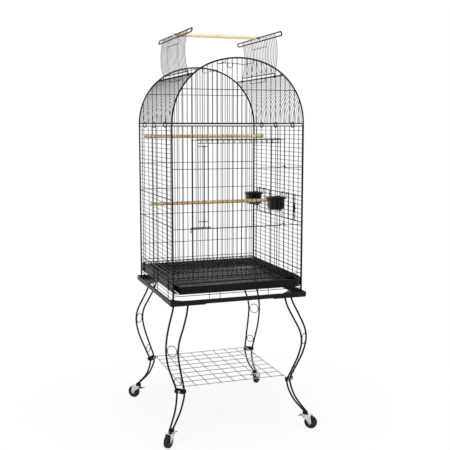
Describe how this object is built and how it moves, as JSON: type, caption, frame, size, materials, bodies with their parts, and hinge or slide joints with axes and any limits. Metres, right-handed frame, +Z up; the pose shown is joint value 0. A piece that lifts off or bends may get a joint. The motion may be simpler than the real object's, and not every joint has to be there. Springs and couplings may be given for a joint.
{
  "type": "bird cage on stand",
  "caption": "Square wire bird cage with a dome roof that opens into a play perch, pull-out tray and grate, on a four-legged rolling stand with a wire shelf.",
  "frame": {"origin": "on the floor, under the middle of the cage", "axes": "+Z up; the front door and the tray face -Y; +X is the side with the feeder cups"},
  "size_m": [0.61, 0.61, 1.5082],
  "materials": {
    "black_coated_wire": "semi-gloss powder coat",
    "black_painted_steel": "semi-gloss powder coat",
    "grey_wire": "satin",
    "black_plastic": "satin",
    "black_gloss_plastic": "gloss",
    "natural_wood": "bare, sanded",
    "zinc_plated_steel": "plated",
    "chrome_plated_steel": "polished",
    "black_rubber": "matte"
  },
  "bodies": {
    "cage": {"stand_frame": "black_painted_steel", "stand_gussets": "black_painted_steel", "leg_front_left": "black_painted_steel", "leg_front_right": "black_painted_steel", "leg_back_left": "black_painted_steel", "leg_back_right": "black_painted_steel", "leg_rings": "grey_wire", "foot_sockets": "black_painted_steel", "knee_clamps": "black_painted_steel", "clamp_screws": "zinc_plated_steel", "shelf": "grey_wire", "front_posts": "black_coated_wire", "front_panel": "black_coated_wire", "front_skirt": "black_coated_wire", "back_panel": "black_coated_wire", "left_panel": "black_coated_wire", "right_panel": "black_coated_wire", "tray_runners": "black_painted_steel", "dome_front": "black_coated_wire", "dome_back": "black_coated_wire", "roof_left": "black_coated_wire", "roof_right": "black_coated_wire", "crown_ledges": "black_coated_wire", "dome_clips": "black_coated_wire", "perch_upper": "natural_wood", "perch_lower": "natural_wood", "perch_screws": "zinc_plated_steel", "cup_holder_front": "black_coated_wire", "cup_holder_rear": "black_coated_wire"},
    "tray": {"tray": "black_plastic"},
    "grate": {"grate": "black_coated_wire"},
    "front_door": {"front_door": "black_coated_wire", "door_scrolls": "black_coated_wire", "door_knuckles": "black_coated_wire"},
    "door_latch": {"door_latch": "black_coated_wire"},
    "feeder_door_front": {"feeder_door_front": "black_coated_wire"},
    "feeder_door_rear": {"feeder_door_rear": "black_coated_wire"},
    "cup_front": {"cup_front": "black_gloss_plastic"},
    "cup_rear": {"cup_rear": "black_gloss_plastic"},
    "roof_flap_left": {"roof_flap_left": "black_coated_wire"},
    "roof_flap_right": {"roof_flap_right": "black_coated_wire"},
    "play_perch": {"play_perch": "natural_wood"},
    "caster_fork_front_left": {"caster_fork_front_left": "chrome_plated_steel", "caster_axle_front_left": "zinc_plated_steel"},
    "caster_wheel_front_left": {"caster_wheel_front_left": "black_rubber"},
    "brake_lever_front_left": {"brake_lever_front_left": "black_plastic"},
    "caster_fork_front_right": {"caster_fork_front_right": "chrome_plated_steel", "caster_axle_front_right": "zinc_plated_steel"},
    "caster_wheel_front_right": {"caster_wheel_front_right": "black_rubber"},
    "brake_lever_front_right": {"brake_lever_front_right": "black_plastic"},
    "caster_fork_back_left": {"caster_fork_back_left": "chrome_plated_steel", "caster_axle_back_left": "zinc_plated_steel"},
    "caster_wheel_back_left": {"caster_wheel_back_left": "black_rubber"},
    "brake_lever_back_left": {"brake_lever_back_left": "black_plastic"},
    "caster_fork_back_right": {"caster_fork_back_right": "chrome_plated_steel", "caster_axle_back_right": "zinc_plated_steel"},
    "caster_wheel_back_right": {"caster_wheel_back_right": "black_rubber"},
    "brake_lever_back_right": {"brake_lever_back_right": "black_plastic"}
  },
  "joints": [
    {"name": "front_door_swing", "type": "hinge", "parent": "cage", "child": "front_door", "pos_m": [0.17698, -0.2515, 0.9], "axis": [0, 0, 1], "range_deg": [0, 110]},
    {"name": "door_latch_lift", "type": "slide", "parent": "front_door", "child": "door_latch", "axis": [0, 0, 1], "range_m": [0, 0.016]},
    {"name": "feeder_door_front_swing", "type": "hinge", "parent": "cage", "child": "feeder_door_front", "pos_m": [0.2515, -0.042, 0.85], "axis": [0, 0, 1], "range_deg": [0, 110]},
    {"name": "feeder_door_rear_swing", "type": "hinge", "parent": "cage", "child": "feeder_door_rear", "pos_m": [0.2515, 0.202, 0.85], "axis": [0, 0, 1], "range_deg": [0, 110]},
    {"name": "cup_front_lift", "type": "slide", "parent": "cage", "child": "cup_front", "axis": [0, 0, 1], "range_m": [0, 0.06]},
    {"name": "cup_rear_lift", "type": "slide", "parent": "cage", "child": "cup_rear", "axis": [0, 0, 1], "range_m": [0, 0.06]},
    {"name": "tray_slide", "type": "slide", "parent": "cage", "child": "tray", "axis": [0, -1, 0], "range_m": [0, 0.42]},
    {"name": "grate_slide", "type": "slide", "parent": "cage", "child": "grate", "axis": [0, -1, 0], "range_m": [0, 0.42]},
    {"name": "roof_flap_left_fold", "type": "hinge", "parent": "cage", "child": "roof_flap_left", "pos_m": [-0.16817, 0, 1.34025], "axis": [0, 1, 0], "range_deg": [0, 69]},
    {"name": "roof_flap_right_fold", "type": "hinge", "parent": "cage", "child": "roof_flap_right", "pos_m": [0.16817, 0, 1.34025], "axis": [0, -1, 0], "range_deg": [0, 69]},
    {"name": "play_perch_lift", "type": "slide", "parent": "cage", "child": "play_perch", "axis": [0, 0, 1], "range_m": [0, 0.245]},
    {"name": "caster_swivel_front_left", "type": "hinge", "parent": "cage", "child": "caster_fork_front_left", "pos_m": [-0.2675, -0.2675, 0.058], "axis": [0, 0, 1], "continuous": true},
    {"name": "wheel_spin_front_left", "type": "hinge", "parent": "caster_fork_front_left", "child": "caster_wheel_front_left", "pos_m": [-0.28341, -0.28341, 0.025], "axis": [0.7071, -0.7071, 0], "continuous": true},
    {"name": "brake_press_front_left", "type": "hinge", "parent": "caster_fork_front_left", "child": "brake_lever_front_left", "pos_m": [-0.26538, -0.26538, 0.046], "axis": [-0.7071, 0.7071, 0], "range_deg": [0, 8]},
    {"name": "caster_swivel_front_right", "type": "hinge", "parent": "cage", "child": "caster_fork_front_right", "pos_m": [0.2675, -0.2675, 0.058], "axis": [0, 0, 1], "continuous": true},
    {"name": "wheel_spin_front_right", "type": "hinge", "parent": "caster_fork_front_right", "child": "caster_wheel_front_right", "pos_m": [0.28341, -0.28341, 0.025], "axis": [0.7071, 0.7071, 0], "continuous": true},
    {"name": "brake_press_front_right", "type": "hinge", "parent": "caster_fork_front_right", "child": "brake_lever_front_right", "pos_m": [0.26538, -0.26538, 0.046], "axis": [-0.7071, -0.7071, 0], "range_deg": [0, 8]},
    {"name": "caster_swivel_back_left", "type": "hinge", "parent": "cage", "child": "caster_fork_back_left", "pos_m": [-0.2675, 0.2675, 0.058], "axis": [0, 0, 1], "continuous": true},
    {"name": "wheel_spin_back_left", "type": "hinge", "parent": "caster_fork_back_left", "child": "caster_wheel_back_left", "pos_m": [-0.28341, 0.28341, 0.025], "axis": [-0.7071, -0.7071, 0], "continuous": true},
    {"name": "brake_press_back_left", "type": "hinge", "parent": "caster_fork_back_left", "child": "brake_lever_back_left", "pos_m": [-0.26538, 0.26538, 0.046], "axis": [0.7071, 0.7071, 0], "range_deg": [0, 8]},
    {"name": "caster_swivel_back_right", "type": "hinge", "parent": "cage", "child": "caster_fork_back_right", "pos_m": [0.2675, 0.2675, 0.058], "axis": [0, 0, 1], "continuous": true},
    {"name": "wheel_spin_back_right", "type": "hinge", "parent": "caster_fork_back_right", "child": "caster_wheel_back_right", "pos_m": [0.28341, 0.28341, 0.025], "axis": [-0.7071, 0.7071, 0], "continuous": true},
    {"name": "brake_press_back_right", "type": "hinge", "parent": "caster_fork_back_right", "child": "brake_lever_back_right", "pos_m": [0.26538, 0.26538, 0.046], "axis": [0.7071, -0.7071, 0], "range_deg": [0, 8]}
  ],
  "couplings": [
    {"joint": "roof_flap_right_fold", "follows": "roof_flap_left_fold", "ratio": 1},
    {"joint": "play_perch_lift", "follows": "roof_flap_left_fold", "m_per_rad": 0.2}
  ]
}
